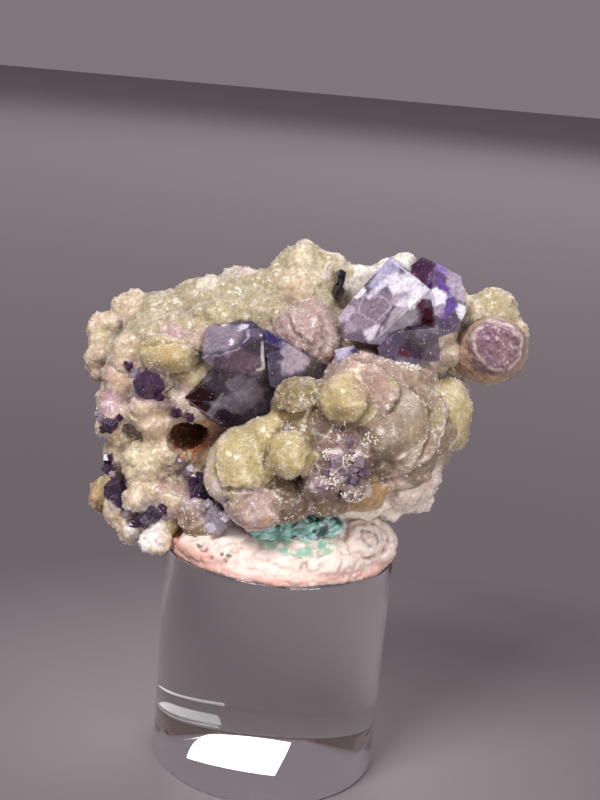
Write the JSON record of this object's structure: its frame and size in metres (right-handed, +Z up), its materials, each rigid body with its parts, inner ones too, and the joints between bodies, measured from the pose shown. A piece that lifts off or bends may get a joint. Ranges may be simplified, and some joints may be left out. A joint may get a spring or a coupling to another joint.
{
  "type": "phantom fluorite specimen",
  "caption": "Lumpy botryoidal crust with grey-lilac to violet fluorite cubes, phantom zones inside, stuck with putty to a clear round acrylic base that stands on a table",
  "frame": {"origin": "centre of the flat underside of the clear base, on its axis", "axes": "+Z up along the base's axis, +Y away from the side that shows the specimen best, +X to that viewer's right, towards the rounded coated crystal"},
  "size_m": [0.0486, 0.0306, 0.0585],
  "materials": {
    "acrylic": "polished",
    "putty": "matte",
    "teal_putty": "satin",
    "crust": "satin",
    "fluorite": "gloss",
    "coated_fluorite": "satin"
  },
  "bodies": {
    "root": {"acrylic_base": "acrylic", "mounting_putty": "putty", "teal_putty": "teal_putty", "crust_matrix": "crust", "fluorite_left_cluster": "fluorite", "fluorite_top_cluster": "fluorite", "fluorite_coated_ball": "coated_fluorite", "fluorite_small_step": "fluorite", "fluorite_small_left": "fluorite", "fluorite_small_low": "fluorite", "fluorite_small_side": "fluorite", "fluorite_small_pair": "fluorite", "fluorite_small_mid": "fluorite", "fluorite_small_pale": "fluorite", "fluorite_small_edge": "fluorite", "fluorite_small_dark": "fluorite", "fluorite_back_upper": "fluorite", "fluorite_back_lower": "fluorite", "fluorite_back_left": "fluorite"}
  },
  "joints": []
}
